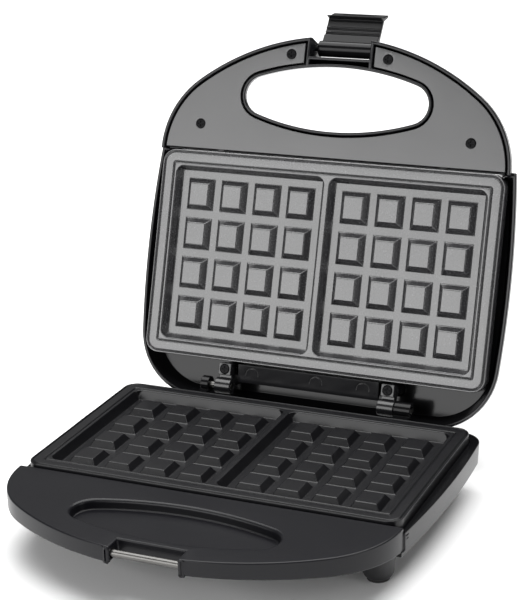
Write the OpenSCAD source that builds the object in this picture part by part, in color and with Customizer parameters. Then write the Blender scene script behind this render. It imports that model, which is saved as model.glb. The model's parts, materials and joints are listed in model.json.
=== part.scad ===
/* [Cooking plates] */
// Width of each cooking plate
plate_w = 216; // [170:1:280]
// Depth of each cooking plate, front to back
plate_d = 125; // [100:1:160]
// Corner radius of the plate rim
plate_r = 8; // [5:0.5:12]
// Flat rim between the plate edge and the waffle cavity
rim_land = 9.6; // [7:0.1:14]
// Depth of the waffle cavity below the rim
cavity_depth = 5.6; // [4.5:0.1:8]
// Height of the grid blocks above the cavity floor
block_h = 4.1; // [3:0.1:5]
// Metal thickness under the cavity
plate_floor = 2.2; // [1.6:0.1:3.5]
// Half width of the ridge between the two waffles
divider_half = 1.7; // [1.2:0.1:3]
// Gap left between the two plate rims when closed
plate_gap = 0.5; // [0.3:0.1:1.5]

/* [Lid] */
// Distance from the plate edge to the widest part of the lid
lid_margin = 7.4; // [6:0.1:12]
// Distance of the lid's side rim behind the plane of the plate rim
rim_recess = 6; // [2:0.5:6.5]
// Height of the lid frame, plate rim to cap
frame_h = 21; // [20:0.5:28]
// Height of the lid cap above its frame
cap_h = 15; // [10:0.5:24]
// Radius of the rear corners of the lid
lid_corner_r = 40; // [28:1:46]
// Wall of the lid frame
lid_wall = 2; // [1.5:0.1:3]
// Wall of the lid cap
cap_wall = 2.2; // [1.6:0.1:3]
// Angle between the closed and the fully open lid
lid_open = 108.6; // [95:0.1:112]

/* [Base] */
// Distance from the plate edge to the widest part of the base
base_margin = 6.8; // [5.5:0.1:10]
// Drop from the plate rim to the shoulder of the base
shoulder_drop = 5.6; // [4.5:0.1:7.5]
// Height of the side wall of the base
side_h = 12.6; // [10.5:0.1:16]
// Depth of the belly below the side wall
belly_h = 6; // [4:0.5:10]
// Wall of the base housing
base_wall = 2.4; // [1.8:0.1:3.2]
// Height of the feet below the side wall
foot_h = 20; // [14:0.2:26]
// Radius of a foot where it meets the base
foot_r = 10; // [7:0.5:11]

/* [Handles] */
// Depth of the handles in front of the plates
handle_d = 72; // [64:1:90]
// Thickness of the base handle at its front edge
base_handle_t = 8.8; // [8:0.1:12]
// Extra thickness of the base handle where it meets the plate
base_handle_slope = 4; // [0:0.1:5]
// Thickness of the lid handle
lid_handle_t = 20; // [18.5:0.5:24]
// Half width of the finger opening
oval_a = 57.8; // [45:0.1:62]
// Half depth of the finger opening
oval_b = 19.1; // [16:0.1:20]
// Half width of the latch notch
notch_half = 18.9; // [16:0.1:22]
// Depth of the finger recess in the base handle
recess_depth = 5.5; // [3.5:0.1:6]

/* [Hinge and latch] */
// Distance from the rear edge of the plate to the hinge axis
hinge_back = 15; // [14:0.5:20]
// Outside radius of the hinge knuckles
knuckle_r = 4.8; // [4.2:0.1:5.5]
// Radius of the hinge pins
hinge_pin_r = 2; // [1.5:0.1:2.5]
// Angle from the closed to the open latch
latch_open = 109; // [90:1:115]
// Radius of the catch bar
bar_r = 2; // [1.5:0.1:2.5]
// Radius of the latch pin
latch_pin_r = 1.5; // [1.2:0.1:2]
// Radius of the latch barrel
barrel_r = 4.8; // [4.2:0.1:5.2]

/* [Fits] */
// Clearance around parts that seat in one another
fit = 0.3; // [0.2:0.05:0.6]
// Radial clearance of a pin that turns in its bore
running_fit = 0.06; // [0.03:0.01:0.1]
// Width of the shadow gap around the lid handle cover
cover_gap = 1.2; // [0.8:0.1:2]

/* [Hidden] */
$fn = 64;
eps = 0.02;
arc_steps = 24;

// Plates
plate_half = plate_w / 2;
plate_t = cavity_depth + plate_floor;
cavity_x = plate_half - rim_land;
cavity_slope = 2.3;
grid_edge = 4.7;
pitch_x = (cavity_x - divider_half - 2 * grid_edge) / 4;
pitch_y = (plate_d - 2 * rim_land - 2 * grid_edge) / 4;
block_base = 0.775;
block_top = 0.55;
boss_side = plate_half - 36;
boss_inset = 14;
boss_r = 4;
boss_drop = 5;

// Lid
lid_half = plate_half + lid_margin;
lid_side_r = 3.08 * plate_w;
lid_side_y = 0.523 * plate_d;
lid_back = plate_d + hinge_back + 9.8;
moon_end_r = 54.4;
lid_moon_a = plate_half + 2.2;
lid_moon_d = handle_d + 1.4;
straight_z = rim_recess + 3.1;
lid_draft = 0.46;
handle_edge = 4.2;
handle_taper = 9;
opening_edge = 3;
opening_flare = 8;

// Base
base_half = plate_half + base_margin;
base_side_y = 0.62 * plate_d;
base_back = plate_d + hinge_back - 8;
base_front = -2;
base_corner_r = 14;
base_moon_a = plate_half + 2.6;
cover_top = -1.5;
shoulder_z = -shoulder_drop;
wall_bottom = shoulder_z - side_h;
belly_z = wall_bottom - belly_h;
rim_z = foot_h - wall_bottom;
ledge_z = -plate_t;
deck_t = 1.7;
deck_top = cover_top - base_handle_t + deck_t;
bottom_t = 2;
foot_x = plate_half - 15;
belly_x = foot_x - foot_r - 3;
belly_y0 = 6;
belly_y1 = base_back - 8;
foot_front_y = base_front + foot_r + 2;
foot_rear_y = base_back - foot_r - 2;

// Hinge
hinge_y = plate_d + hinge_back;
hinge_z = -0.8;
lid_knuckle_x = 0.24 * plate_w;
lid_knuckle_w = 10;
wide_knuckle_w = 10;
narrow_knuckle_w = 5;
side_play = 0.4;
pin_gap = 4;
bracket_screw_y = plate_d + 4.8;

// Handles, latch and catch
oval_y = -0.503 * handle_d;
oval_r = 0.61 * oval_b;
notch_y = -handle_d + 11.2;
pivot_y = -handle_d + barrel_r;
pivot_z = 12.6;
latch_half = notch_half - 1.5;
bar_y = -handle_d + 4.9;
bar_z = -6.5;
arm_t = 2.4;
hook_gap = 0.3;
screw_front = [30.4, 0.855 * handle_d];
screw_side = [0.79 * plate_half, 16.5];

hook_z = bar_z - bar_r - hook_gap - pivot_z;
grip_flare = 5.4;
grip_drop = 6.2;

// Depth of the origin behind the front edge of the plates: the middle of the open waffle maker,
// from the front of the base handle beside the notch to the tip of the open latch
pivot_back = hinge_y + (pivot_y - hinge_y) * cos(lid_open) + (pivot_z - hinge_z) * sin(lid_open);
lean = lid_open + latch_open;
latch_back = pivot_back - (barrel_r + grip_flare) * cos(lean) - (grip_drop - hook_z) * sin(lean);
front_c = long_c(base_moon_a, handle_d, moon_end_r);
handle_front = front_c - sqrt((front_c + handle_d) ^ 2 - notch_half ^ 2);
origin_y = (latch_back + handle_front) / 2;

// Points along an arc
function arc_pts(c, r, a0, a1, n = arc_steps) =
    [for (i = [0:n]) c + r * [cos(a0 + (a1 - a0) * i / n), sin(a0 + (a1 - a0) * i / n)]];

// Distance from the middle to the centre of the long arc of an oval or a half moon
function long_c(a, b, r) = ((a - r) ^ 2 - (b - r) ^ 2) / (2 * (b - r));

// Half moon in front of the plates: half width a, depth d, radius r at its two ends
function moon(a, d, r, back = 0) =
    let (c = long_c(a, d, r), t = atan2(c, a - r), s = asin(max(0, -back) / r))
    concat(back > 0 ? [[-a, back]] : [], arc_pts([r - a, 0], r, 180 + s, 180 + t, 12),
        arc_pts([0, c], c + d, 180 + t, 360 - t, 40),
        arc_pts([a - r, 0], r, 360 - t, 360 - s, 12), back > 0 ? [[a, back]] : []);

// Long oval around the origin
function oval(a, b, r) =
    let (c = long_c(a, b, r), t = atan2(c, a - r))
    concat(arc_pts([0, -c], c + b, t, 180 - t), arc_pts([r - a, 0], r, 180 - t, 180 + t, 12),
        arc_pts([0, c], c + b, 180 + t, 360 - t), arc_pts([a - r, 0], r, -t, t, 12));

// Housing outline: bowed sides of radius rs about height ym, rear corners of radius r
function housing(hw, y0, y1, r, rs, ym) =
    let (cx = hw - rs, cy = y1 - r, xk = cx + sqrt((rs - r) ^ 2 - (cy - ym) ^ 2),
        t = atan2(cy - ym, xk - cx), s = asin((y0 - ym) / rs))
    concat(arc_pts([cx, ym], rs, s, t, 16), arc_pts([xk, cy], r, t, 90, 14),
        arc_pts([-xk, cy], r, 90, 180 - t, 14), arc_pts([-cx, ym], rs, 180 - t, 180 - s, 16));

// Rounded rectangle between two depths
function rounded(hw, y0, y1, r) =
    concat(arc_pts([hw - r, y0 + r], r, -90, 0, 6), arc_pts([hw - r, y1 - r], r, 0, 90, 6),
        arc_pts([r - hw, y1 - r], r, 90, 180, 6), arc_pts([r - hw, y0 + r], r, 180, 270, 6));

function lid_plan(q = 0, front = -2) =
    housing(lid_half - q, front + q, lid_back - q, lid_corner_r - min(q, 16), lid_side_r - q, lid_side_y);
function lid_moon(q = 0, back = 0) = moon(lid_moon_a - q, lid_moon_d - q, moon_end_r - q, back);
function lid_moon_top(q = 0, back = 0) = moon(lid_moon_a - handle_taper - q,
    lid_moon_d - handle_taper / 3 - q, moon_end_r - handle_taper - q, back);
function base_plan(q = 0) =
    housing(base_half - q, base_front + q, base_back - q, base_corner_r - q, lid_side_r - q, base_side_y);
function base_moon(q = 0, back = -0.6) = moon(base_moon_a - q, handle_d - q, moon_end_r - q, back);

// Extrusion of an outline from z0 to z1
module slab(points, z0, z1) {
    translate([0, 0, z0]) linear_extrude(z1 - z0) polygon(points);
}
module block(x0, x1, y0, y1, z0, z1) {
    translate([x0, y0, z0]) cube([x1 - x0, y1 - y0, z1 - z0]);
}
module rod(p, r, length) {
    translate(p) rotate([0, 90, 0]) cylinder(r = r, h = length, center = true);
}
module both_sides() {
    children();
    mirror([1, 0, 0]) children();
}
module at_feet(y) {
    both_sides() translate([foot_x, y, 0]) children();
}
module at_bosses() {
    both_sides() for (y = [boss_inset, plate_d - boss_inset])
        translate([boss_side, y, 0]) children();
}
module at_cover_screws() {
    both_sides() for (p = [screw_front, screw_side]) translate([p[0], -p[1], 0]) children();
}

// The base frame has z = 0 at the plate rim; the lid is drawn closed and turned open
module in_base() {
    translate([0, -origin_y, rim_z]) children();
}
module in_lid() {
    in_base() translate([0, hinge_y, hinge_z]) rotate([-lid_open, 0, 0])
        translate([0, -hinge_y, -hinge_z]) children();
}
module in_latch() {
    in_lid() translate([0, pivot_y, pivot_z]) rotate([-latch_open, 0, 0]) children();
}

// Screw pointing up, its head below z = 0, with a cross recess
module screw(r, length, head_r, head_h) {
    difference() {
        union() {
            cylinder(r = r, h = length);
            translate([0, 0, -head_h]) cylinder(r = head_r, h = head_h);
        }
        for (a = [0, 90]) rotate([0, 0, a])
            translate([-0.65 * head_r, -0.15 * head_r, -head_h - eps])
                cube([1.3 * head_r, 0.3 * head_r, 0.6 * head_h]);
    }
}

// ---- Cooking plates -------------------------------------------------------------------
// Row of ridges with sloping sides along y, one for each column of blocks
module block_ridges(centres, pitch, length) {
    for (x = centres) translate([x, 0, 0]) rotate([90, 0, 0])
        linear_extrude(length, center = true)
            polygon([[-pitch * block_base / 2, 0], [pitch * block_base / 2, 0],
                [pitch * block_top / 2, block_h], [-pitch * block_top / 2, block_h]]);
}
// All the grid blocks, standing on z = 0
module grid_blocks() {
    mid_x = (cavity_x + divider_half) / 2;
    columns = [for (s = [-1, 1], i = [-1.5:1:1.5]) s * mid_x + i * pitch_x];
    rows = [for (i = [-1.5:1:1.5]) i * pitch_y];
    translate([0, plate_d / 2, 0]) intersection() {
        block_ridges(columns, pitch_x, plate_d);
        rotate([0, 0, 90]) block_ridges(rows, pitch_y, plate_w);
    }
}
// Waffle cavity with sloping walls, open at z = 0
module cavity(x0, x1) {
    y0 = rim_land;
    y1 = plate_d - rim_land;
    slope = cavity_slope;
    intersection() {
        translate([0, plate_d, 0]) rotate([90, 0, 0]) linear_extrude(plate_d)
            polygon([[x0, 0], [x0 + slope, -cavity_depth], [x1 - slope, -cavity_depth], [x1, 0],
                [x1, 1], [x0, 1]]);
        translate([x0 - 1, 0, 0]) rotate([90, 0, 90]) linear_extrude(x1 - x0 + 2)
            polygon([[y0, 0], [y0 + slope, -cavity_depth], [y1 - slope, -cavity_depth], [y1, 0],
                [y1, 1], [y0, 1]]);
        translate([(x0 + x1) / 2, 0, 0]) slab(rounded((x1 - x0) / 2, y0, y1, 5), -plate_t, 2);
    }
}
module ring(inset, width, z0, z1) {
    difference() {
        slab(rounded(plate_half - inset, inset, plate_d - inset, max(plate_r - inset, 1.5)), z0, z1);
        slab(rounded(plate_half - inset - width, inset + width, plate_d - inset - width,
            max(plate_r - inset - width, 1)), z0 - 1, z1 + 1);
    }
}
// Cast plate with its rim at z = 0, cavity down
module cooking_plate() {
    difference() {
        union() {
            difference() {
                slab(rounded(plate_half, 0, plate_d, plate_r), -plate_t, 0);
                cavity(divider_half, cavity_x);
                cavity(-cavity_x, -divider_half);
            }
            translate([0, 0, -cavity_depth - eps]) grid_blocks();
            at_bosses() translate([0, 0, -plate_t - boss_drop]) cylinder(r = boss_r, h = boss_drop + eps);
        }
        ring(0.9, 1, -0.9, 1);
        ring(rim_land - 2.4, 0.8, -0.7, 1);
        at_bosses() translate([0, 0, -plate_t - boss_drop - 1]) cylinder(r = 1.7, h = boss_drop + 2);
    }
}
module lower_cooking_plate() {
    color([0.13, 0.13, 0.14]) in_base() cooking_plate();
}
module upper_cooking_plate() {
    color([0.36, 0.36, 0.38]) in_lid() translate([0, 0, plate_gap]) mirror([0, 0, 1]) cooking_plate();
}

// ---- Heating --------------------------------------------------------------------------
heater_r = 3.3;
heater_bend = 16;
heater_x = boss_side - 4;
heater_y0 = 32;
heater_y1 = plate_d - 32;
heater_z = -plate_t - heater_r;
reflector_z = heater_z - heater_r - 0.6;
reflector_t = 0.6;
pin_r = 1.6;
pin_len = 14;

// Quarter bend of the tube, from the +x side round to the +y side of its centre
module bend(c, turn) {
    translate(c) rotate([0, 0, turn]) rotate_extrude(angle = 90)
        translate([heater_bend, 0]) circle(r = heater_r, $fn = 32);
}
// Tubular heater bent to a U, with its two terminal pins at the +x end
module heater() {
    x0 = heater_bend - heater_x;
    span = heater_x - 30 - x0;
    for (y = [heater_y0, heater_y1]) rod([x0 + span / 2, y, heater_z], heater_r, span);
    bend([x0, heater_y0 + heater_bend, heater_z], 180);
    bend([x0, heater_y1 - heater_bend, heater_z], 90);
    translate([x0 - heater_bend, (heater_y0 + heater_y1) / 2, heater_z]) rotate([90, 0, 0])
        cylinder(r = heater_r, h = heater_y1 - heater_y0 - 2 * heater_bend, center = true, $fn = 32);
    for (y = [heater_y0, heater_y1])
        rod([heater_x - 30 + pin_len / 2 - 1, y, heater_z], pin_r, pin_len + 2);
}
// Folded steel tray under the heater
module reflector() {
    hw = belly_x - 5;
    y0 = boss_inset + 6;
    y1 = plate_d - boss_inset - 6;
    difference() {
        block(-hw, hw, y0, y1, reflector_z - reflector_t, reflector_z + 6);
        block(-hw + reflector_t, hw - reflector_t, y0 + reflector_t, y1 - reflector_t,
            reflector_z, reflector_z + 7);
    }
}
module lower_heating_element() {
    color([0.45, 0.44, 0.43]) in_base() heater();
}
module upper_heating_element() {
    color([0.45, 0.44, 0.43]) in_lid() translate([0, 0, plate_gap]) mirror([0, 0, 1]) heater();
}
module lower_heat_reflector() {
    color([0.72, 0.73, 0.74]) in_base() reflector();
}
module upper_heat_reflector() {
    color([0.72, 0.73, 0.74]) in_lid() translate([0, 0, plate_gap]) mirror([0, 0, 1]) reflector();
}
module thermostat() {
    color([0.85, 0.82, 0.76]) in_base() translate([0, plate_d / 2, -plate_t - 6.2]) union() {
        cylinder(r = 8, h = 6.2);
        both_sides() block(7, 12, -2, 2, 1, 1.8);
    }
}
module thermal_fuse() {
    color([0.9, 0.9, 0.88]) in_base() union() {
        rod([30, plate_d / 2, -plate_t - 2.2], 2, 12);
        rod([30, plate_d / 2, -plate_t - 2.2], 0.6, 32);
    }
}
block_x = 0.4 * plate_half;
block_y0 = belly_y1 - 15.5;
lead_r = 1.3;
lead_z = belly_z + 5;
module terminal_block() {
    color([0.93, 0.92, 0.88]) in_base() difference() {
        block(block_x - 14, block_x + 14, block_y0, block_y0 + 13, belly_z + bottom_t, belly_z + 11);
        for (x = [-7, 7]) translate([block_x + x, block_y0 - 1, lead_z]) rotate([-90, 0, 0])
            cylinder(r = lead_r + 0.05, h = 15);
    }
}
// Short leads from the terminal block towards the heater
module base_leads() {
    color([0.85, 0.83, 0.78]) in_base() for (x = [-7, 7])
        translate([block_x + x, heater_y1 + 6, lead_z]) rotate([-90, 0, 0])
            cylinder(r = lead_r, h = block_y0 - heater_y1 + 4, $fn = 24);
}

// ---- Base -----------------------------------------------------------------------------
gland_x = block_x;
gland_z = shoulder_z - side_h / 2 + 0.3;
gland_r = 4;
cord_r = 3.2;

module base_housing() {
    color([0.05, 0.05, 0.055]) in_base() difference() {
        union() {
            difference() {
                hull() {
                    slab(base_plan(), shoulder_z - 1, shoulder_z);
                    slab(base_plan(0.6), wall_bottom, wall_bottom + 1);
                }
                slab(base_plan(base_wall + 1.6), wall_bottom - 1, shoulder_z - base_wall);
                slab(rounded(plate_half + fit, -fit, plate_d + fit, plate_r), ledge_z, 1);
                slab(rounded(plate_half - 5, 5, plate_d - 5, plate_r), wall_bottom, 1);
            }
            // Ledge that carries the plate
            difference() {
                slab(rounded(plate_half + 3, base_front, plate_d + 3, plate_r), ledge_z - 2, ledge_z);
                slab(rounded(plate_half - 5, 5, plate_d - 5, plate_r), wall_bottom, 1);
            }
            // Deck under the handle cover
            difference() {
                slab(base_moon(2.2 + fit, base_front + 1), deck_top - deck_t, deck_top);
                block(-notch_half - 3, notch_half + 3, -handle_d - 1, notch_y + 3, -30, 1);
            }
            // Pads under the hinge brackets
            for (x = [wide_x, narrow_x])
                block(x - 8, x + 8, base_back - 6.4, base_back - 1, shoulder_z - 5, shoulder_z - 1);
        }
        at_cover_screws() translate([0, 0, deck_top - deck_t - 1]) cylinder(r = 1.7, h = deck_t + 2);
        at_bracket_screws() translate([0, 0, shoulder_z - 6]) cylinder(r = 1.25, h = 8);
        translate([gland_x, base_back - 6, gland_z]) rotate([-90, 0, 0]) cylinder(r = gland_r + 0.05, h = 9);
    }
}
module bottom_cover() {
    inner = base_wall + 1.6 + fit;
    color([0.06, 0.06, 0.065]) in_base() difference() {
        union() {
            slab(base_plan(inner), wall_bottom, wall_bottom + bottom_t);
            slab(rounded(belly_x, belly_y0, belly_y1, 10), belly_z, wall_bottom + bottom_t);
            at_bosses() translate([0, 0, belly_z]) cylinder(r = 5, h = -plate_t - boss_drop - belly_z);
        }
        difference() {
            slab(rounded(belly_x - 2, belly_y0 + 2, belly_y1 - 2, 8), belly_z + bottom_t, 0);
            at_bosses() translate([0, 0, belly_z]) cylinder(r = 5, h = 30);
        }
        at_bosses() translate([0, 0, belly_z - 1]) cylinder(r = 2.2, h = 40);
        at_bosses() translate([0, 0, belly_z - 1]) cylinder(r = 3.8, h = 3.4);
        at_feet(foot_front_y) translate([0, 0, wall_bottom - 1]) cylinder(r = 1.6, h = 9);
        at_feet(foot_rear_y) translate([0, 0, wall_bottom - 1]) cylinder(r = 1.6, h = 9);
        for (x = [-30:10:30]) block(x - 1.5, x + 1.5, 30, plate_d - 30, belly_z - 1, belly_z + bottom_t + 1);
    }
}
module base_handle_cover() {
    wall = 2.2;
    low = cover_top - base_handle_t - base_handle_slope;
    color([0.14, 0.14, 0.15]) in_base() difference() {
        union() {
            difference() {
                slab(base_moon(), low - 1, cover_top);
                slab(base_moon(wall, -0.6 - wall), low - 2, cover_top - wall);
            }
            translate([0, oval_y, 0]) slab(oval(oval_a + 1.6, oval_b + 1.6, oval_r + 1.6),
                cover_top - recess_depth - 1.5, cover_top - 1);
            block(-notch_half - wall, notch_half + wall, -handle_d + 1, notch_y + wall,
                cover_top - base_handle_t, cover_top - 1);
            at_cover_screws() translate([0, 0, deck_top]) cylinder(r = 3.4, h = cover_top - 1 - deck_top);
        }
        // Finger recess
        translate([0, oval_y, 0]) slab(oval(oval_a, oval_b, oval_r), cover_top - recess_depth, 1);
        block(-notch_half, notch_half, -handle_d - 5, notch_y, -40, 1);
        // Underside, rising to the front; its rear stays open over the front of the housing
        translate([0, -handle_d, cover_top - base_handle_t])
            rotate([-atan(base_handle_slope / handle_d), 0, 0])
                translate([-200, -20, -40]) cube([400, handle_d + 60, 40]);
        block(3 - base_moon_a, base_moon_a - 3, -4, 1, -40, cover_top - wall);
        slab(base_plan(-fit), -40, shoulder_z + fit);
        rod([0, bar_y, bar_z], bar_r + 0.02, 2 * notch_half + 2 * 1.6);
        at_cover_screws() translate([0, 0, deck_top - 1]) cylinder(r = 1.25, h = 5);
    }
}
module catch_bar() {
    color([0.62, 0.6, 0.58]) in_base() rod([0, bar_y, bar_z], bar_r, 2 * notch_half + 2 * 1.5);
}
module base_handle_screws() {
    color([0.2, 0.2, 0.2]) in_base() at_cover_screws() translate([0, 0, deck_top - deck_t])
        screw(1.2, deck_t + 3.5, 2.8, 1.6);
}
module lower_plate_screws() {
    color([0.7, 0.7, 0.7]) in_base() at_bosses() translate([0, 0, belly_z + 2.4])
        screw(1.65, -plate_t - boss_drop - belly_z + 1, 3.4, 2);
}
module foot(y) {
    at_feet(y) translate([0, 0, wall_bottom - foot_h]) difference() {
        rotate_extrude() difference() {
            union() {
                polygon([[0, 0.5], [foot_r - 6, 0.5], [foot_r - 1.6, 5.5], [foot_r, foot_h], [0, foot_h]]);
                intersection() {
                    translate([foot_r - 6.6, 5.5]) circle(r = 5);
                    translate([0, 0.5]) square([foot_r, 5.2]);
                }
            }
            translate([-20, -1]) square([20, foot_h + 2]);
            translate([0, -1]) square([foot_r - 4 + fit / 2, 2.5]);
        }
        translate([0, 0, -1]) cylinder(r = 1.8, h = foot_h + 2);
        translate([0, 0, -1]) cylinder(r = 3.6, h = foot_h - 4);
    }
}
module front_feet() {
    color([0.07, 0.07, 0.075]) in_base() foot(foot_front_y);
}
module rear_feet() {
    color([0.07, 0.07, 0.075]) in_base() foot(foot_rear_y);
}
module foot_pads() {
    color([0.12, 0.12, 0.12]) in_base() for (y = [foot_front_y, foot_rear_y]) at_feet(y)
        translate([0, 0, wall_bottom - foot_h]) difference() {
            cylinder(r = foot_r - 4, h = 1.5);
            translate([0, 0, -1]) cylinder(r = 2, h = 4);
        }
}
module foot_screws() {
    color([0.7, 0.7, 0.7]) in_base() for (y = [foot_front_y, foot_rear_y]) at_feet(y)
        translate([0, 0, wall_bottom - 5]) screw(1.5, 8, 3.2, 2);
}
module cord_gland() {
    color([0.04, 0.04, 0.04]) in_base() translate([gland_x, base_back - 5.5, gland_z])
        rotate([-90, 0, 0]) difference() {
            union() {
                cylinder(r = gland_r, h = 7);
                translate([0, 0, 5.5]) cylinder(r = gland_r + 1, h = 2.6);
            }
            translate([0, 0, -1]) cylinder(r = cord_r, h = 12);
        }
}

// ---- Hinge ----------------------------------------------------------------------------
wide_x = lid_knuckle_x + lid_knuckle_w / 2 + side_play + wide_knuckle_w / 2;
narrow_x = -(lid_knuckle_x + lid_knuckle_w / 2 + pin_gap + narrow_knuckle_w / 2);
module at_bracket_screws() {
    for (x = [wide_x, narrow_x]) translate([x, base_back - 4, 0]) children();
}
module base_knuckle(x, w) {
    difference() {
        union() {
            rod([x, hinge_y, hinge_z], knuckle_r, w);
            block(x - w / 2, x + w / 2, base_back - 6, hinge_y, shoulder_z, shoulder_z + 2.6);
        }
        rod([x, hinge_y, hinge_z], hinge_pin_r + 0.02, w + 2);
        translate([x, base_back - 4, shoulder_z - 1]) cylinder(r = 1.5, h = 6);
    }
}
module base_hinge_brackets() {
    color([0.1, 0.1, 0.11]) in_base() union() {
        base_knuckle(wide_x, wide_knuckle_w);
        base_knuckle(narrow_x, narrow_knuckle_w);
    }
}
module base_hinge_screws() {
    color([0.55, 0.55, 0.55]) in_base() at_bracket_screws()
        translate([0, 0, shoulder_z + 2.6]) mirror([0, 0, 1]) screw(1.2, 7, 2.2, 1.2);
}
module lid_knuckle(x) {
    y0 = plate_d + 1.3;
    difference() {
        union() {
            rod([x, hinge_y, hinge_z], knuckle_r, lid_knuckle_w);
            block(x - 4, x + 4, y0, y0 + 7, -3, 6);
            block(x - 4, x + 4, y0 + 3, hinge_y, hinge_z, hinge_z + knuckle_r);
        }
        rod([x, hinge_y, hinge_z], hinge_pin_r + running_fit, lid_knuckle_w + 2);
        translate([x, bracket_screw_y, -4]) cylinder(r = 1.5, h = 12);
        translate([x, bracket_screw_y, -4]) cylinder(r = 2.9, h = 1.8);
    }
}
module lid_hinge_brackets() {
    color([0.5, 0.5, 0.5]) in_lid() both_sides() lid_knuckle(lid_knuckle_x);
}
module lid_hinge_screws() {
    color([0.15, 0.15, 0.15]) in_lid() both_sides()
        translate([lid_knuckle_x, bracket_screw_y, -2.2]) screw(1.2, 12, 2.7, 0.9);
}
module hinge_pins() {
    x1 = wide_x + wide_knuckle_w / 2;
    x0 = lid_knuckle_x - lid_knuckle_w / 2;
    color([0.75, 0.75, 0.76]) in_base() both_sides()
        rod([(x0 + x1) / 2, hinge_y, hinge_z], hinge_pin_r, x1 - x0);
}

// ---- Lid ------------------------------------------------------------------------------
post_r = 4.6;
frame_deck = 2;
// Body of the lid behind the side rim, its wall drawn in from straight_z upwards
module lid_form(q, z0, z1, front = -2) {
    slab(lid_plan(q, front), z0, straight_z);
    hull() {
        slab(lid_plan(q, front), straight_z - 0.1, straight_z);
        slab(lid_plan(q + lid_draft * (z1 - straight_z), front), z1 - 0.1, z1);
    }
}
// Handle of the lid, its edge drawn in towards the top
module handle_form(q, z0, z1, back = 0) {
    slab(lid_moon(q, back), z0, handle_edge);
    hull() {
        slab(lid_moon(q, back), handle_edge - 0.1, handle_edge);
        slab(lid_moon_top(q, back), z1 - 0.1, z1);
    }
}
// Finger opening of the lid handle, straight at its rim and wider towards the top
module opening_form(q, z0, z1) {
    translate([0, oval_y, 0]) {
        slab(oval(oval_a + q, oval_b + q, oval_r + q), z0, opening_edge);
        hull() {
            slab(oval(oval_a + q, oval_b + q, oval_r + q), opening_edge - 0.1, opening_edge);
            slab(oval(oval_a + q + opening_flare, oval_b + q + opening_flare / 4,
                oval_r + q + opening_flare / 4), z1 - 0.1, z1);
        }
    }
}
module lid_frame() {
    deck_z = frame_h - frame_deck;
    moon_top = lid_handle_t;
    color([0.3, 0.3, 0.31]) in_lid() difference() {
        union() {
            difference() {
                union() {
                    lid_form(0, rim_recess, frame_h);
                    handle_form(0, 0, moon_top);
                }
                lid_form(lid_wall, -1, deck_z, -1);
                handle_form(lid_wall, -1, moon_top - 2.4, 3);
            }
            // Wall behind the handle cover
            block(4 - lid_moon_a, lid_moon_a - 4, -1.6, -fit, 3.4, frame_h - 1);
            // Posts for the plate, the hinge brackets and the handle cover
            at_bosses() translate([0, 0, plate_gap + plate_t + boss_drop])
                cylinder(r = post_r, h = deck_z - plate_gap - plate_t - boss_drop + eps);
            both_sides() translate([lid_knuckle_x, bracket_screw_y, 6]) cylinder(r = 4, h = deck_z - 6 + eps);
            at_cover_screws() translate([0, 0, 2.8]) cylinder(r = 3.6, h = moon_top - 5);
            // Walls around the finger opening and the latch notch
            intersection() {
                union() {
                    opening_form(1.8, 0, moon_top - 1);
                    block(-notch_half - 1.9, notch_half + 1.9, -lid_moon_d, notch_y + 1.8, 0, moon_top - 1);
                    both_sides() block(notch_half - 0.2, notch_half + 1.9, notch_y, oval_y, 0, moon_top - 1);
                }
                handle_form(0.5, -1, moon_top - 1);
            }
        }
        opening_form(0, -1, moon_top + 1);
        // Notch of the latch, with a rib behind the barrel
        block(-notch_half, notch_half, -lid_moon_d - 5, notch_y, -1, pivot_z - 3);
        block(-notch_half, notch_half, -lid_moon_d - 5, min(notch_y, pivot_y + barrel_r + 0.5),
            -1, moon_top + 1);
        rod([0, pivot_y, pivot_z], latch_pin_r + 0.02, 2 * notch_half + 2 * 1.6);
        at_bosses() translate([0, 0, plate_gap + plate_t + boss_drop - 1]) cylinder(r = 1.9, h = 40);
        both_sides() translate([lid_knuckle_x, bracket_screw_y, 5]) cylinder(r = 1.25, h = 10);
        at_cover_screws() translate([0, 0, 2]) cylinder(r = 1.25, h = 10);
        // Lamp leads pass through the deck
        translate([0, 30, deck_z - 1]) cylinder(r = 4, h = 4);
    }
}
lens_x = 12;
lens_y = 34;
lens_r = 4;
module lid_cap() {
    q = lid_draft * (frame_h - straight_z);
    steps = [[q, 0], [q + 3, 0.37], [q + 7, 0.69], [q + 13, 0.93], [q + 22, 1]];
    skin = 0.05;
    color([0.06, 0.06, 0.065]) in_lid() translate([0, 0, frame_h]) difference() {
        for (i = [0:3]) hull() {
            slab(lid_plan(steps[i][0]), steps[i][1] * cap_h, steps[i][1] * cap_h + skin);
            slab(lid_plan(steps[i + 1][0]), steps[i + 1][1] * cap_h - skin, steps[i + 1][1] * cap_h);
        }
        slab(lid_plan(q + cap_wall + 3.2), -1, 0.33 * cap_h);
        slab(lid_plan(q + cap_wall + 7.6), -1, 0.61 * cap_h);
        slab(lid_plan(q + cap_wall + 15), -1, cap_h - cap_wall);
        for (x = [-lens_x, lens_x]) translate([x, lens_y, 0]) cylinder(r = lens_r + 0.1, h = cap_h + 1);
    }
}
module lens(x) {
    in_lid() translate([x, lens_y, frame_h + cap_h - cap_wall - 1]) union() {
        cylinder(r = lens_r, h = cap_wall + 1.6);
        cylinder(r = lens_r + 1.2, h = 1);
    }
}
module power_lens() {
    color([0.75, 0.06, 0.05]) lens(-lens_x);
}
module ready_lens() {
    color([0.1, 0.6, 0.15]) lens(lens_x);
}
module indicator_lamps() {
    color([0.9, 0.85, 0.75]) in_lid() for (x = [-lens_x, lens_x])
        translate([x, lens_y, frame_h]) cylinder(r = 2.6, h = cap_h - cap_wall - 1.5);
}
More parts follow.
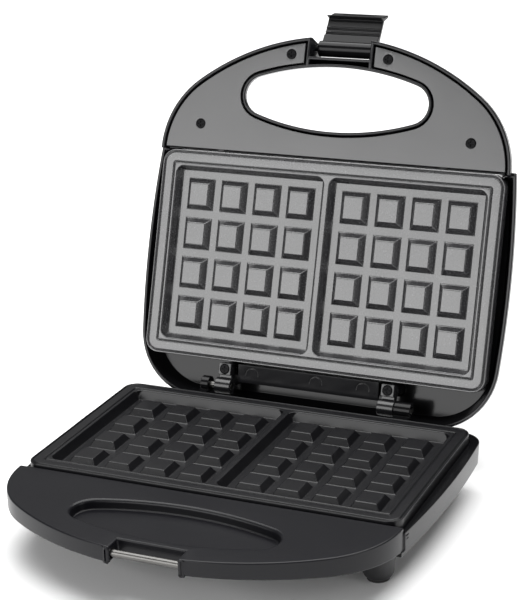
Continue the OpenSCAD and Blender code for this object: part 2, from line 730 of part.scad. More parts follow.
module lid_handle_cover() {
    inset = lid_wall + cover_gap;
    color([0.33, 0.33, 0.34]) in_lid() difference() {
        union() {
            slab(lid_moon(inset, -1.6), 0.4, 2.8);
            for (x = [-0.65, 0.65]) block(x * plate_half - 2, x * plate_half + 2, -2, -1, 0.6, 2.6);
        }
        translate([0, oval_y, 0]) slab(oval(oval_a + 3, oval_b + 3, oval_r + 3), -1, 4);
        block(-notch_half - 3.1, notch_half + 3.1, -lid_moon_d, oval_y, -1, 4);
        at_cover_screws() translate([0, 0, -1]) cylinder(r = 1.5, h = 6);
        at_cover_screws() translate([0, 0, -1]) cylinder(r = 3, h = 2.6);
    }
}
module lid_handle_screws() {
    color([0.08, 0.08, 0.08]) in_lid() at_cover_screws() translate([0, 0, 1.6])
        screw(1.2, 8, 2.8, 1);
}
module upper_plate_screws() {
    color([0.7, 0.7, 0.7]) in_lid() at_bosses() translate([0, 0, frame_h]) mirror([0, 0, 1])
        screw(1.65, frame_h - plate_gap - plate_t - 1, 3.4, 2);
}
module lid_rear_panel() {
    x0 = lid_knuckle_x - lid_knuckle_w / 2 - 2;
    y0 = plate_d + 1.2;
    y1 = hinge_y - 3;
    marks = [-0.8, 0.12, 0.78];
    color([0.3, 0.3, 0.31]) in_lid() difference() {
        union() {
            rotate([90, 0, 90]) translate([0, 0, -x0]) linear_extrude(2 * x0)
                polygon([[y0, 0.8], [y1, 2.8], [y1, 5], [y0 + 2, 3], [y0 + 2, frame_h - frame_deck],
                    [y0, frame_h - frame_deck]]);
        }
        for (m = marks) translate([m * x0, (y0 + y1) / 2, 0]) difference() {
            cylinder(r = 4.2, h = 2);
            translate([0, 0, -1]) cylinder(r = 3.7, h = 4);
        }
    }
}
module latch_pin() {
    color([0.7, 0.7, 0.7]) in_lid() rod([0, pivot_y, pivot_z], latch_pin_r, 2 * notch_half + 2 * 1.5);
}

// ---- Latch ----------------------------------------------------------------------------
// Side profile, hanging down from the pivot at the origin; -y is the outside
module latch() {
    inner = arm_t - barrel_r;
    tip = bar_y - pivot_y + 1.2;
    color([0.07, 0.07, 0.075]) in_latch() difference() {
        union() {
            rod([0, 0, 0], barrel_r, 2 * latch_half);
            rotate([90, 0, 90]) translate([0, 0, -latch_half]) linear_extrude(2 * latch_half) union() {
                // Arm and hook
                polygon([[-barrel_r, 0], [inner, 0], [inner, hook_z], [tip, hook_z],
                    [tip, hook_z - 0.6], [inner - 0.2, hook_z - 2.2], [-barrel_r, hook_z - 2.2]]);
                // Thicker root with a ledge
                polygon([[inner - eps, 0], [0, 0], [inner + 1.2, hook_z + 11], [inner - eps, hook_z + 10.4]]);
                // Thumb grip that flares outward
                polygon([[-barrel_r, hook_z - 0.8], [inner - 0.2, hook_z - 2.2],
                    [inner - grip_flare - 1, hook_z - grip_drop - 1],
                    [-barrel_r - grip_flare, hook_z - grip_drop]]);
            }
            for (z = [hook_z + 6, hook_z + 9]) block(-latch_half, latch_half, inner - eps,
                inner + 0.7, z - 0.5, z + 0.5);
        }
        rod([0, 0, 0], latch_pin_r + running_fit, 2 * latch_half + 2);
        // Thumb recess in the inner face of the grip
        translate([0, inner - 3.6, hook_z - 5]) rotate([-39, 0, 0])
            translate([-0.55 * latch_half, -1.7, -1.4]) cube([1.1 * latch_half, 3.4, 2.2]);
    }
}

base_housing();
bottom_cover();
base_handle_cover();
catch_bar();
lower_cooking_plate();
lower_heating_element();
lower_heat_reflector();
thermostat();
thermal_fuse();
terminal_block();
base_leads();
cord_gland();
front_feet();
rear_feet();
foot_pads();
foot_screws();
base_handle_screws();
lower_plate_screws();
base_hinge_brackets();
base_hinge_screws();
hinge_pins();
lid_frame();
lid_cap();
lid_handle_cover();
lid_handle_screws();
upper_cooking_plate();
upper_plate_screws();
upper_heating_element();
upper_heat_reflector();
lid_rear_panel();
lid_hinge_brackets();
lid_hinge_screws();
power_lens();
ready_lens();
indicator_lamps();
latch_pin();
latch();
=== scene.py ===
"""Looks of a two-waffle maker: rounded mouldings, cast plates, hardware, finishes and a small studio.

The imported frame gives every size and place. Each operator dresses one group of pieces and the
panel lists them in the order in which main() calls them.
"""

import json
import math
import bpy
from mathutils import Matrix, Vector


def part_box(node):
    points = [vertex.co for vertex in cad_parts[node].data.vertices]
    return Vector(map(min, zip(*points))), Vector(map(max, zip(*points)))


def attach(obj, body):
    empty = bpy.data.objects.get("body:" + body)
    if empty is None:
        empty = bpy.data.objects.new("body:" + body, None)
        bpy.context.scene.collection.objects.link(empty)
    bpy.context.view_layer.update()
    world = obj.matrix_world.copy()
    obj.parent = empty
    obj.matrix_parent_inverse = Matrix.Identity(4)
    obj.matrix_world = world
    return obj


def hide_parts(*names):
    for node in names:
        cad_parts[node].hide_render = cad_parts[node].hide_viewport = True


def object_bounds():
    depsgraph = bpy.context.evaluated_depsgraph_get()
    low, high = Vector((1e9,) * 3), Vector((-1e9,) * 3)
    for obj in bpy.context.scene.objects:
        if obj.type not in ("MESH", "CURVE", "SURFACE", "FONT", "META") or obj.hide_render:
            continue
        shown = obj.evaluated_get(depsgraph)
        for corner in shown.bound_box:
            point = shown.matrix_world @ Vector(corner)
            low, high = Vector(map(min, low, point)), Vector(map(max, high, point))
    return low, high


bl_info = {
    "name": "Waffle Maker Looks",
    "version": (1, 0, 0),
    "blender": (4, 5, 0),
    "location": "View3D > Sidebar > Waffle Maker",
    "description": "Dresses the waffle maker's frame in its mouldings, castings and finishes",
    "category": "Object",
}

import bmesh
import bpy
from bpy.props import FloatProperty, FloatVectorProperty, PointerProperty
from mathutils import Matrix, Vector

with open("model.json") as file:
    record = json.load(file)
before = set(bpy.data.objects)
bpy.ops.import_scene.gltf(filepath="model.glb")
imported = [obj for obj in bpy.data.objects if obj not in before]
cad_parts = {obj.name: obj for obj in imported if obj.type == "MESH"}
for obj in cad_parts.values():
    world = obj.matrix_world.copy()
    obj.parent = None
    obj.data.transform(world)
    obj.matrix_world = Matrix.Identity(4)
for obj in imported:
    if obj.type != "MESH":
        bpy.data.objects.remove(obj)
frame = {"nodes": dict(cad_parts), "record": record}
cad_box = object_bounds()

MM = 0.001
TIDY = 0.000002
SHARP = math.radians(38)
SMOOTH = math.radians(42)
CAST_SHARP = math.radians(25)
CROWN_SHARP = math.radians(60)
FLAT = math.radians(0.6)
GRAIN_DEPTH = 0.03 * MM
COATING_DEPTH = 0.04 * MM


# ---- Settings -------------------------------------------------------------------------------


def colour_of(name, description, default):
    return FloatVectorProperty(
        name=name, description=description, default=default, subtype="COLOR", size=3, min=0, max=1
    )


def radius_of(name, description, millimetres):
    return FloatProperty(
        name=name, description=description, default=millimetres * MM, unit="LENGTH",
        min=0, max=5 * MM, precision=5,
    )


def power_of(name, description, watts):
    return FloatProperty(name=name, description=description, default=watts, unit="POWER")


class WaffleColours(bpy.types.PropertyGroup):
    """Colours of the finishes"""

    gloss_black: colour_of("Gloss black", "Polished black moulding", (0.003, 0.003, 0.0034))
    matt_black: colour_of("Matt black", "Textured black moulding", (0.012, 0.012, 0.013))
    handle_black: colour_of("Handle", "Satin moulding of the base handle", (0.0045, 0.0045, 0.0058))
    # Black plastic like the rest of the lid, painted lighter than the lid frame: a painted reflection of the
    # lights on the handle face
    handle_face_painted_reflection: colour_of("Lid handle face", "Satin inner face of the lid handle", (0.022, 0.022, 0.023))
    rim_grey: colour_of("Lid rim", "Polished edge of the lid", (0.007, 0.007, 0.008))
    # One non-stick coating in two tones: darker on the lower plate as painted shade, lighter on the upper
    # plate as painted sheen where it faces the lights
    coating_with_painted_shade: colour_of("Lower coating", "Non-stick coating of the lower plate", (0.004, 0.004, 0.0048))
    coating_with_painted_sheen: colour_of("Upper coating", "Non-stick coating of the upper plate", (0.020, 0.020, 0.0215))
    fleck: colour_of("Coating fleck", "Mineral flecks in the coating", (0.07, 0.07, 0.075))
    steel: colour_of("Steel", "Drawn and plated steel", (0.12, 0.118, 0.114))
    dark_screw: colour_of("Dark screws", "Blackened screw steel", (0.006, 0.006, 0.0065))
    sheath: colour_of("Heater sheath", "Oxidised heater tube", (0.2, 0.17, 0.15))
    tray: colour_of("Tray", "Bright folded sheet", (0.6, 0.61, 0.62))
    ceramic: colour_of("Ceramic", "Unglazed insulator", (0.78, 0.74, 0.66))
    pad: colour_of("Foot pads", "Rubber pads", (0.02, 0.02, 0.02))
    red_lens: colour_of("Red lens", "Clear red plastic", (0.5, 0.015, 0.01))
    green_lens: colour_of("Green lens", "Clear green plastic", (0.02, 0.32, 0.05))
    floor: colour_of("Floor", "Pale studio floor", (0.86, 0.86, 0.86))


class WaffleRounding(bpy.types.PropertyGroup):
    """Edge radii of the mouldings and castings"""

    handle: radius_of("Base handle", "Outer edges of the base handle", 0.9)
    recess: radius_of("Finger recess", "Rolled rim of the finger recess", 1.9)
    housing: radius_of("Housing", "Edges of the base housing", 0.35)
    lid: radius_of("Lid", "Edges of the lid frame", 0.55)
    face: radius_of("Lid handle face", "Edges of the inner face of the lid handle", 0.3)
    casting: radius_of("Plates", "Edges of the cast cooking plates", 0.55)
    latch: radius_of("Latch", "Edges of the latch", 0.45)
    hinge: radius_of("Hinge", "Edges of the hinge blocks", 0.35)
    screw: radius_of("Screws", "Edges of the screw heads", 0.12)


class WaffleStudio(bpy.types.PropertyGroup):
    """Camera and lights"""

    lens: FloatProperty(name="Lens", description="Focal length", default=104.81, unit="CAMERA", min=10)
    azimuth: FloatProperty(
        name="Azimuth", description="Camera heading, to the left of +Y",
        default=math.radians(23.877), unit="ROTATION",
    )
    elevation: FloatProperty(
        name="Elevation", description="Camera height angle", default=math.radians(19.172), unit="ROTATION"
    )
    roll: FloatProperty(
        name="Roll", description="Camera roll", default=math.radians(-1.689), unit="ROTATION"
    )
    place: FloatVectorProperty(
        name="Camera place", description="Where the camera stands", default=(0.36694, -0.83203, 0.43189),
        subtype="TRANSLATION", unit="LENGTH", size=3,
    )
    key_power: power_of("Key light", "Power of the front-left panel", 17.0)
    top_power: power_of("Top light", "Power of the overhead panel", 150.0)
    side_power: power_of("Side light", "Power of the strip at the right", 3.0)
    surround: FloatProperty(name="Surround", description="Strength of the room's light", default=0.22, min=0)


def colours():
    return bpy.context.scene.waffle_colours


def rounding():
    return bpy.context.scene.waffle_rounding


# ---- Shader node groups ---------------------------------------------------------------------


def new_group(name, inputs, outputs):
    """An empty node group: inputs is (name, type, default), outputs is (name, type)."""
    tree = bpy.data.node_groups.new(name, "ShaderNodeTree")
    for label, kind, default in inputs:
        socket = tree.interface.new_socket(name=label, in_out="INPUT", socket_type=kind)
        socket.default_value = default
    for label, kind in outputs:
        tree.interface.new_socket(name=label, in_out="OUTPUT", socket_type=kind)
    return tree, tree.nodes.new("NodeGroupInput"), tree.nodes.new("NodeGroupOutput")


def math_node(tree, operation, first, second, third=None):
    node = tree.nodes.new("ShaderNodeMath")
    node.operation = operation
    for socket, value in zip(node.inputs, (first, second, third)):
        if isinstance(value, bpy.types.NodeSocket):
            tree.links.new(value, socket)
        elif value is not None:
            socket.default_value = value
    return node.outputs[0]


def noise_node(tree, vector, scale, detail=2.0):
    node = tree.nodes.new("ShaderNodeTexNoise")
    node.inputs["Detail"].default_value = detail
    tree.links.new(vector, node.inputs["Vector"])
    if isinstance(scale, bpy.types.NodeSocket):
        tree.links.new(scale, node.inputs["Scale"])
    else:
        node.inputs["Scale"].default_value = scale
    return node.outputs["Fac"]


def mix_colour(tree, factor, first, second):
    node = tree.nodes.new("ShaderNodeMix")
    node.data_type = "RGBA"
    for value, socket in zip((factor, first, second), (node.inputs[0], node.inputs[6], node.inputs[7])):
        tree.links.new(value, socket)
    return node.outputs[2]


def object_coordinates(tree):
    return tree.nodes.new("ShaderNodeTexCoord").outputs["Object"]


def moulding_group():
    """Fine grain of a moulded or blasted surface, with broad changes of gloss."""
    tree, given, out = new_group(
        "Moulded Grain",
        [("Grain Scale", "NodeSocketFloat", 1500.0), ("Roughness", "NodeSocketFloat", 0.3),
         ("Spread", "NodeSocketFloat", 0.06)],
        [("Roughness", "NodeSocketFloat"), ("Height", "NodeSocketFloat")],
    )
    place = object_coordinates(tree)
    grain = noise_node(tree, place, given.outputs["Grain Scale"], 3.0)
    broad = noise_node(tree, place, 22.0, 4.0)
    centred = math_node(tree, "SUBTRACT", broad, 0.5)
    rough = math_node(tree, "MULTIPLY_ADD", centred, given.outputs["Spread"], given.outputs["Roughness"])
    tree.links.new(rough, out.inputs["Roughness"])
    tree.links.new(grain, out.inputs["Height"])
    return tree


def fleck_group():
    """Small light flecks scattered through a coating."""
    tree, given, out = new_group(
        "Coating Flecks",
        [("Coating", "NodeSocketColor", (0.02, 0.02, 0.02, 1)),
         ("Fleck", "NodeSocketColor", (0.2, 0.2, 0.2, 1)),
         ("Scale", "NodeSocketFloat", 900.0), ("Rarity", "NodeSocketFloat", 0.66)],
        [("Color", "NodeSocketColor"), ("Mask", "NodeSocketFloat")],
    )
    place = object_coordinates(tree)
    spots = noise_node(tree, place, given.outputs["Scale"], 1.0)
    above = math_node(tree, "SUBTRACT", spots, given.outputs["Rarity"])
    steep = math_node(tree, "MULTIPLY", above, 14.0)
    mask = math_node(tree, "MINIMUM", math_node(tree, "MAXIMUM", steep, 0.0), 1.0)
    flecked = mix_colour(tree, mask, given.outputs["Coating"], given.outputs["Fleck"])
    tree.links.new(flecked, out.inputs["Color"])
    tree.links.new(mask, out.inputs["Mask"])
    return tree


def drift_group():
    """Slow drift between two tones, for dust, heat tint and handling."""
    tree, given, out = new_group(
        "Tone Drift",
        [("Tone", "NodeSocketColor", (0.1, 0.1, 0.1, 1)), ("Drifted", "NodeSocketColor", (0.2, 0.2, 0.2, 1)),
         ("Scale", "NodeSocketFloat", 30.0), ("Share", "NodeSocketFloat", 0.5)],
        [("Color", "NodeSocketColor")],
    )
    cloud = noise_node(tree, object_coordinates(tree), given.outputs["Scale"], 5.0)
    share = math_node(tree, "MULTIPLY", cloud, given.outputs["Share"])
    drifted = mix_colour(tree, share, given.outputs["Tone"], given.outputs["Drifted"])
    tree.links.new(drifted, out.inputs["Color"])
    return tree


def drawn_group():
    """Long fine lines of drawn or rolled metal, along X."""
    tree, given, out = new_group(
        "Drawn Lines",
        [("Line Scale", "NodeSocketFloat", 1400.0), ("Roughness", "NodeSocketFloat", 0.28),
         ("Spread", "NodeSocketFloat", 0.14)],
        [("Roughness", "NodeSocketFloat"), ("Height", "NodeSocketFloat")],
    )
    stretch = tree.nodes.new("ShaderNodeMapping")
    stretch.inputs["Scale"].default_value = (0.03, 1.0, 1.0)
    tree.links.new(object_coordinates(tree), stretch.inputs["Vector"])
    lines = noise_node(tree, stretch.outputs["Vector"], given.outputs["Line Scale"], 3.0)
    centred = math_node(tree, "SUBTRACT", lines, 0.5)
    rough = math_node(tree, "MULTIPLY_ADD", centred, given.outputs["Spread"], given.outputs["Roughness"])
    tree.links.new(rough, out.inputs["Roughness"])
    tree.links.new(lines, out.inputs["Height"])
    return tree


GROUP_MAKERS = {
    "Moulded Grain": moulding_group,
    "Coating Flecks": fleck_group,
    "Tone Drift": drift_group,
    "Drawn Lines": drawn_group,
}


def place_group(tree, name, **values):
    """A group node with its own values; the group is built the first time it is asked for."""
    node = tree.nodes.new("ShaderNodeGroup")
    node.node_tree = bpy.data.node_groups.get(name) or GROUP_MAKERS[name]()
    for label, value in values.items():
        node.inputs[label.replace("_", " ")].default_value = value
    return node


def rgba(colour):
    return (*colour, 1.0)


def start_material(name):
    material = bpy.data.materials.new(name)
    material.use_nodes = True
    tree = material.node_tree
    return material, tree, tree.nodes["Principled BSDF"]


def add_bump(tree, shader, height, strength, distance):
    bump = tree.nodes.new("ShaderNodeBump")
    bump.inputs["Strength"].default_value = strength
    bump.inputs["Distance"].default_value = distance
    tree.links.new(height, bump.inputs["Height"])
    tree.links.new(bump.outputs["Normal"], shader.inputs["Normal"])


def moulded(name, colour, dusty, roughness, spread, grain, relief, specular=0.5):
    """Moulded plastic, ceramic or rubber."""
    material, tree, shader = start_material(name)
    surface = place_group(tree, "Moulded Grain", Grain_Scale=grain, Roughness=roughness, Spread=spread)
    tone = place_group(tree, "Tone Drift", Tone=rgba(colour), Drifted=rgba(dusty), Scale=34.0, Share=0.35)
    tree.links.new(tone.outputs["Color"], shader.inputs["Base Color"])
    tree.links.new(surface.outputs["Roughness"], shader.inputs["Roughness"])
    add_bump(tree, shader, surface.outputs["Height"], relief, GRAIN_DEPTH)
    shader.inputs["Specular IOR Level"].default_value = specular
    return material


def coated(name, colour, fleck, roughness, specular, rarity):
    """Cast metal under a flecked non-stick coating."""
    material, tree, shader = start_material(name)
    flecks = place_group(
        tree, "Coating Flecks", Coating=rgba(colour), Fleck=rgba(fleck), Scale=1100.0, Rarity=rarity
    )
    surface = place_group(tree, "Moulded Grain", Grain_Scale=1700.0, Roughness=roughness, Spread=0.1)
    tone = place_group(tree, "Tone Drift", Drifted=rgba([c * 1.7 for c in colour]), Scale=26.0, Share=0.3)
    tree.links.new(flecks.outputs["Color"], tone.inputs["Tone"])
    tree.links.new(tone.outputs["Color"], shader.inputs["Base Color"])
    tree.links.new(surface.outputs["Roughness"], shader.inputs["Roughness"])
    add_bump(tree, shader, surface.outputs["Height"], 0.22, COATING_DEPTH)
    shader.inputs["Specular IOR Level"].default_value = specular
    return material


def metal(name, colour, tinted, roughness, lines):
    """Drawn, rolled or blackened steel."""
    material, tree, shader = start_material(name)
    surface = place_group(tree, "Drawn Lines", Line_Scale=lines, Roughness=roughness, Spread=0.14)
    tone = place_group(tree, "Tone Drift", Tone=rgba(colour), Drifted=rgba(tinted), Scale=60.0, Share=0.6)
    tree.links.new(tone.outputs["Color"], shader.inputs["Base Color"])
    tree.links.new(surface.outputs["Roughness"], shader.inputs["Roughness"])
    add_bump(tree, shader, surface.outputs["Height"], 0.12, GRAIN_DEPTH)
    shader.inputs["Metallic"].default_value = 1.0
    return material


def clear_plastic(name, colour):
    material, tree, shader = start_material(name)
    surface = place_group(tree, "Moulded Grain", Grain_Scale=300.0, Roughness=0.12, Spread=0.05)
    tone = place_group(
        tree, "Tone Drift", Tone=rgba(colour), Drifted=rgba([c * 0.6 for c in colour]), Scale=90.0, Share=0.5
    )
    tree.links.new(tone.outputs["Color"], shader.inputs["Base Color"])
    tree.links.new(surface.outputs["Roughness"], shader.inputs["Roughness"])
    shader.inputs["Subsurface Weight"].default_value = 0.3
    shader.inputs["Subsurface Scale"].default_value = 0.002
    shader.inputs["Coat Weight"].default_value = 0.6
    return material


def finish_makers():
    c = colours()
    return {
        "gloss_black": lambda: moulded(
            "Polished black", c.gloss_black, (0.009, 0.009, 0.01),
            roughness=0.15, spread=0.05, grain=260, relief=0.05, specular=0.16,
        ),
        "matte_black": lambda: moulded(
            "Matt black", c.matt_black, (0.02, 0.02, 0.021),
            roughness=0.5, spread=0.08, grain=1400, relief=0.3,
        ),
        "dark_grey": lambda: moulded(
            "Satin handle", c.handle_black, (0.009, 0.009, 0.011),
            roughness=0.3, spread=0.06, grain=1900, relief=0.16, specular=0.22,
        ),
        # Lid handle face: black satin plastic whose colour is painted lighter, a painted reflection added to
        # its real sheen
        "mid_grey": lambda: moulded(
            "Satin lid handle painted reflection", c.handle_face_painted_reflection, (0.036, 0.036, 0.037),
            roughness=0.29, spread=0.06, grain=1700, relief=0.16, specular=0.72,
        ),
        "lid_rim_grey": lambda: moulded(
            "Polished lid rim", c.rim_grey, (0.01, 0.01, 0.011),
            roughness=0.14, spread=0.05, grain=300, relief=0.06, specular=0.24,
        ),
        "hinge_grey": lambda: moulded(
            "Hinge block", c.rim_grey, (0.02, 0.02, 0.021),
            roughness=0.2, spread=0.08, grain=500, relief=0.1,
        ),
        # Lower plate: the shared coating and its flecks (0.4 times) painted darker, as painted shade
        "nonstick_dark": lambda: coated(
            "Coating with painted shade", c.coating_with_painted_shade, [0.4 * v for v in c.fleck],
            roughness=0.3, specular=0.3, rarity=0.7,
        ),
        # Upper plate: the shared coating painted lighter, as painted sheen where it faces the lights
        "nonstick_grey": lambda: coated(
            "Coating with painted sheen", c.coating_with_painted_sheen, c.fleck,
            roughness=0.26, specular=1.0, rarity=0.64,
        ),
        "steel": lambda: metal(
            "Plated steel", c.steel, (0.09, 0.088, 0.084),
            roughness=0.3, lines=1500,
        ),
        "black_steel": lambda: metal(
            "Blackened steel", c.dark_screw, (0.012, 0.012, 0.012),
            roughness=0.36, lines=900,
        ),
        "heater_steel": lambda: metal(
            "Heater sheath", c.sheath, (0.12, 0.09, 0.08),
            roughness=0.5, lines=700,
        ),
        "tray_steel": lambda: metal(
            "Folded tray", c.tray, (0.42, 0.42, 0.43),
            roughness=0.3, lines=1200,
        ),
        "ceramic": lambda: moulded(
            "Unglazed ceramic", c.ceramic, (0.6, 0.55, 0.47),
            roughness=0.75, spread=0.1, grain=900, relief=0.3,
        ),
        "lead_sleeve": lambda: moulded(
            "Silicone sleeve", c.ceramic, (0.66, 0.62, 0.55),
            roughness=0.55, spread=0.1, grain=1200, relief=0.3,
        ),
        "pad_rubber": lambda: moulded(
            "Foot rubber", c.pad, (0.05, 0.05, 0.048),
            roughness=0.8, spread=0.1, grain=1100, relief=0.5,
        ),
        "red_lens": lambda: clear_plastic("Red lens", c.red_lens),
        "green_lens": lambda: clear_plastic("Green lens", c.green_lens),
        "lamp_glass": lambda: moulded(
            "Lamp bulb", (0.7, 0.66, 0.58), (0.8, 0.76, 0.68),
            roughness=0.15, spread=0.05, grain=300, relief=0.05,
        ),
    }


FINISHES = {}


def finish(name):
    """The material of one of the record's slots, made once."""
    if name not in FINISHES:
        FINISHES[name] = finish_makers()[name]()
    return FINISHES[name]


SLOT_OF = {part["node"]: part["material_slot"] for part in frame["record"]["subparts"]}


def dress(obj, material):
    obj.data.materials.clear()
    obj.data.materials.append(material)
    return obj


def dress_nodes(*names):
    """Gives CAD nodes that keep their own mesh the finish of their slot."""
    for name in names:
        dress(frame["nodes"][name], finish(SLOT_OF[name]))


# ---- Mesh helpers ---------------------------------------------------------------------------


def merged_copy(node):
    """The node's mesh as a bmesh with its triangles joined into whole faces."""
    bm = bmesh.new()
    bm.from_mesh(frame["nodes"][node].data)
    bmesh.ops.remove_doubles(bm, verts=bm.verts, dist=TIDY)
    bmesh.ops.dissolve_limit(
        bm, angle_limit=FLAT, verts=bm.verts, edges=bm.edges, use_dissolve_boundaries=False
    )
    bmesh.ops.triangulate(bm, faces=[f for f in bm.faces if len(f.verts) > 4], ngon_method="BEAUTY")
    bm.normal_update()
    return bm


def sharp_edges(bm, wanted=lambda edge: True, angle=SHARP):
    return [
        e for e in bm.edges
        if len(e.link_faces) == 2 and e.calc_face_angle(0) > angle and wanted(e)
    ]


def round_edges(bm, edges, radius, segments=3):
    if edges and radius > 0:
        bmesh.ops.bevel(
            bm, geom=edges, offset=radius, offset_type="OFFSET", segments=segments, profile=0.5,
            affect="EDGES", material=-1, clamp_overlap=False,
        )


def finish_piece(bm, name, body, slot_name, *nodes):
    """Turns the bmesh into a shaded piece that rides on a body and stands for its nodes."""
    mesh = bpy.data.meshes.new(name)
    bm.normal_update()
    bm.to_mesh(mesh)
    bm.free()
    mesh.shade_smooth()
    mesh.set_sharp_from_angle(angle=SMOOTH)
    obj = bpy.data.objects.new(name, mesh)
    bpy.context.scene.collection.objects.link(obj)
    even = obj.modifiers.new("Even shading", "WEIGHTED_NORMAL")
    even.keep_sharp = True
    even.weight = 60
    dress(obj, finish(slot_name))
    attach(obj, body)
    if nodes:
        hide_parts(*nodes)
    return obj


def body_of(node):
    return next(b for b, names in frame["record"]["behaviour"]["bodies"].items() if node in names)


def rounded_node(node, name, radius, segments=3, angle=SHARP):
    """A copy of a node with all of its sharp edges rounded."""
    bm = merged_copy(node)
    round_edges(bm, sharp_edges(bm, angle=angle), radius, segments)
    return finish_piece(bm, name, body_of(node), SLOT_OF[node], node)


# ---- Operators ------------------------------------------------------------------------------


class WAFFLE_OT_base(bpy.types.Operator):
    """Housing, underside and handle of the base"""

    bl_idname = "waffle.base"
    bl_label = "Base"

    # The recess lies within this share of the handle's width, behind the notch
    # and in front of a band along the plates
    RECESS_SHARE = 0.56
    NOTCH_SHARE = 0.18
    REAR_BAND = 6 * MM

    def execute(self, context):
        r = rounding()
        rounded_node("base_housing", "base_shell", r.housing, 3)
        rounded_node("bottom_cover", "base_underside", r.housing * 0.6, 2)
        self.handle(r)
        rounded_node("catch_bar", "latch_catch_bar", r.screw, 2)
        rounded_node("cord_gland", "cord_entry", r.hinge, 2)
        return {"FINISHED"}

    def handle(self, r):
        """The handle's top shell, with a wide rolled rim round its finger recess."""
        bm = merged_copy("base_handle_cover")
        low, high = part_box("base_handle_cover")
        size = high - low
        recess_end = self.RECESS_SHARE * size.x / 2
        recess_front = low.y + self.NOTCH_SHARE * size.y
        recess_back = high.y - self.REAR_BAND

        def on_recess_rim(edge):
            return all(
                abs(v.co.z - high.z) < TIDY
                and abs(v.co.x) < recess_end
                and recess_front < v.co.y < recess_back
                for v in edge.verts
            )

        round_edges(bm, sharp_edges(bm, on_recess_rim), r.recess, 5)
        round_edges(bm, sharp_edges(bm), r.handle, 3)
        finish_piece(bm, "base_handle_shell", "base", "dark_grey", "base_handle_cover")


class WAFFLE_OT_lid(bpy.types.Operator):
    """Frame, crown and handle face of the lid"""

    bl_idname = "waffle.lid"
    bl_label = "Lid"

    def execute(self, context):
        r = rounding()
        rounded_node("lid_frame", "lid_shell", r.lid, 3)
        rounded_node("lid_cap", "lid_crown", r.lid, 3, CROWN_SHARP)
        rounded_node("lid_handle_cover", "lid_handle_face", r.face, 2)
        rounded_node("lid_rear_panel", "lid_rear_web", r.face * 0.5, 2)
        return {"FINISHED"}


class WAFFLE_OT_plates(bpy.types.Operator):
    """The two cast cooking plates"""

    bl_idname = "waffle.plates"
    bl_label = "Cooking plates"

    def execute(self, context):
        r = rounding()
        rounded_node("lower_cooking_plate", "lower_waffle_plate", r.casting, 3, CAST_SHARP)
        rounded_node("upper_cooking_plate", "upper_waffle_plate", r.casting, 3, CAST_SHARP)
        return {"FINISHED"}


class WAFFLE_OT_latch(bpy.types.Operator):
    """The latch and its pin"""

    bl_idname = "waffle.latch"
    bl_label = "Latch"

    def execute(self, context):
        r = rounding()
        rounded_node("latch", "latch_clip", r.latch, 3)
        dress_nodes("latch_pin")
        return {"FINISHED"}


class WAFFLE_OT_hinge(bpy.types.Operator):
    """Hinge brackets and pins"""

    bl_idname = "waffle.hinge"
    bl_label = "Hinge"

    def execute(self, context):
        r = rounding()
        rounded_node("base_hinge_brackets", "hinge_base_knuckles", r.hinge, 3)
        rounded_node("lid_hinge_brackets", "hinge_lid_knuckles", r.hinge, 3)
        rounded_node("hinge_pins", "hinge_pivots", r.hinge, 3)
        return {"FINISHED"}


class WAFFLE_OT_feet(bpy.types.Operator):
    """Feet and their pads"""

    bl_idname = "waffle.feet"
    bl_label = "Feet"

    def execute(self, context):
        r = rounding()
        rounded_node("front_feet", "feet_front", r.hinge, 2)
        rounded_node("rear_feet", "feet_rear", r.hinge, 2)
        rounded_node("foot_pads", "feet_pads", r.screw, 2)
        return {"FINISHED"}


class WAFFLE_OT_fasteners(bpy.types.Operator):
    """Every screw"""

    bl_idname = "waffle.fasteners"
    bl_label = "Fasteners"

    def execute(self, context):
        r = rounding()
        for node in ("lid_handle_screws", "lid_hinge_screws", "base_hinge_screws", "base_handle_screws",
                     "foot_screws", "lower_plate_screws", "upper_plate_screws"):
            rounded_node(node, node + "_turned", r.screw, 2)
        return {"FINISHED"}


class WAFFLE_OT_inside(bpy.types.Operator):
    """Heaters, trays, controls and lamps"""

    bl_idname = "waffle.inside"
    bl_label = "Inside"

    def execute(self, context):
        r = rounding()
        dress_nodes(
            "lower_heating_element", "upper_heating_element", "lower_heat_reflector", "upper_heat_reflector",
            "thermostat", "thermal_fuse", "terminal_block", "base_leads", "indicator_lamps",
        )
        rounded_node("power_lens", "power_light", r.hinge, 3)
        rounded_node("ready_lens", "ready_light", r.hinge, 3)
        return {"FINISHED"}


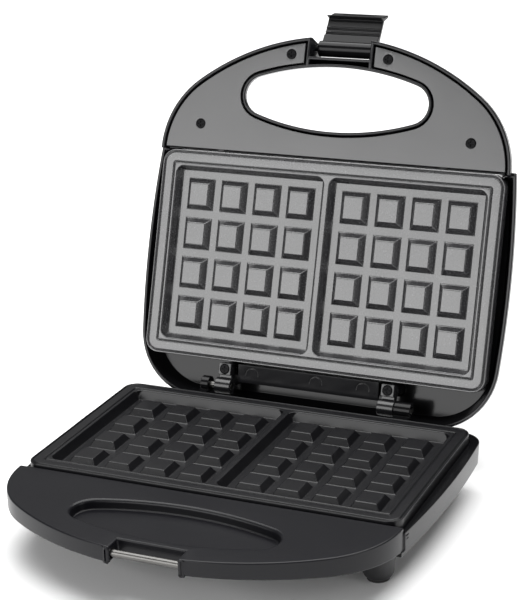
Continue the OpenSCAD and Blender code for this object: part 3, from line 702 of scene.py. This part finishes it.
class WAFFLE_OT_stage(bpy.types.Operator):
    """Floor, lights, surround and camera"""

    bl_idname = "waffle.stage"
    bl_label = "Stage"

    def execute(self, context):
        s = context.scene.waffle_studio
        self.floor()
        low, high = cad_box
        middle = (low + high) / 2
        lid_middle = middle + Vector((0, 0.05, 0.03))
        self.panel("Key panel", middle + Vector((-0.62, -1.45, 0.42)), lid_middle, 1.3, 0.95, s.key_power)
        self.panel("Top panel", Vector((0, 0.5, 2.4)), Vector((0, 0.1, 0)), 3.0, 3.0, s.top_power)
        self.panel("Right strip", middle + Vector((1.3, -0.25, 0.35)), middle, 0.35, 1.2, s.side_power)
        self.surround(s.surround)
        self.camera(s)
        context.scene.view_settings.view_transform = "Standard"
        return {"FINISHED"}

    def floor(self):
        bm = bmesh.new()
        bmesh.ops.create_grid(bm, x_segments=1, y_segments=1, size=9)
        mesh = bpy.data.meshes.new("studio_floor")
        bm.to_mesh(mesh)
        bm.free()
        obj = bpy.data.objects.new("studio_floor", mesh)
        bpy.context.scene.collection.objects.link(obj)
        material, tree, shader = start_material("Pale floor")
        shader.inputs["Base Color"].default_value = rgba(colours().floor)
        shader.inputs["Roughness"].default_value = 0.9
        shader.inputs["Specular IOR Level"].default_value = 0.1
        dress(obj, material)

    def panel(self, name, place, aim, width, height, power):
        light = bpy.data.lights.new(name, "AREA")
        light.shape = "RECTANGLE"
        light.size, light.size_y = width, height
        light.energy = power
        obj = bpy.data.objects.new(name, light)
        obj.location = place
        obj.rotation_euler = (aim - place).to_track_quat("-Z", "Y").to_euler()
        bpy.context.scene.collection.objects.link(obj)

    def surround(self, strength):
        world = bpy.data.worlds.new("Surround")
        world.use_nodes = True
        back = world.node_tree.nodes["Background"]
        back.inputs["Color"].default_value = (1, 1, 1, 1)
        back.inputs["Strength"].default_value = strength
        bpy.context.scene.world = world

    def camera(self, s):
        data = bpy.data.cameras.new("Camera")
        data.lens = s.lens
        data.sensor_width = 36
        data.clip_start, data.clip_end = 0.05, 60
        obj = bpy.data.objects.new("Camera", data)
        ahead = Vector((
            -math.sin(s.azimuth) * math.cos(s.elevation),
            math.cos(s.azimuth) * math.cos(s.elevation),
            -math.sin(s.elevation),
        ))
        level = ahead.cross(Vector((0, 0, 1))).normalized()
        upright = level.cross(ahead)
        right = level * math.cos(s.roll) + upright * math.sin(s.roll)
        up = upright * math.cos(s.roll) - level * math.sin(s.roll)
        turn = Matrix((right, up, -ahead)).transposed().to_4x4()
        obj.matrix_world = Matrix.Translation(Vector(s.place)) @ turn
        bpy.context.scene.collection.objects.link(obj)
        bpy.context.scene.camera = obj


OPERATORS = (
    WAFFLE_OT_stage, WAFFLE_OT_base, WAFFLE_OT_lid, WAFFLE_OT_plates, WAFFLE_OT_latch, WAFFLE_OT_hinge,
    WAFFLE_OT_feet, WAFFLE_OT_fasteners, WAFFLE_OT_inside,
)


class WAFFLE_PT_looks(bpy.types.Panel):
    """Lists the steps that dress the waffle maker"""

    bl_label = "Waffle Maker"
    bl_idname = "WAFFLE_PT_looks"
    bl_space_type = "VIEW_3D"
    bl_region_type = "UI"
    bl_category = "Waffle Maker"

    def draw(self, context):
        for group in SETTINGS:
            settings = getattr(context.scene, group)
            box = self.layout.box()
            for name in settings.__annotations__:
                box.prop(settings, name)
        for operator in OPERATORS:
            self.layout.operator(operator.bl_idname)


SETTINGS = {
    "waffle_colours": WaffleColours,
    "waffle_rounding": WaffleRounding,
    "waffle_studio": WaffleStudio,
}


def register():
    for cls in (*SETTINGS.values(), *OPERATORS, WAFFLE_PT_looks):
        bpy.utils.register_class(cls)
    for name, cls in SETTINGS.items():
        setattr(bpy.types.Scene, name, PointerProperty(type=cls))


def unregister():
    for name in SETTINGS:
        delattr(bpy.types.Scene, name)
    for cls in reversed((*SETTINGS.values(), *OPERATORS, WAFFLE_PT_looks)):
        bpy.utils.unregister_class(cls)


def main():
    register()
    for operator in OPERATORS:
        family, step = operator.bl_idname.split(".")
        getattr(getattr(bpy.ops, family), step)()


if __name__ == "__main__":
    main()
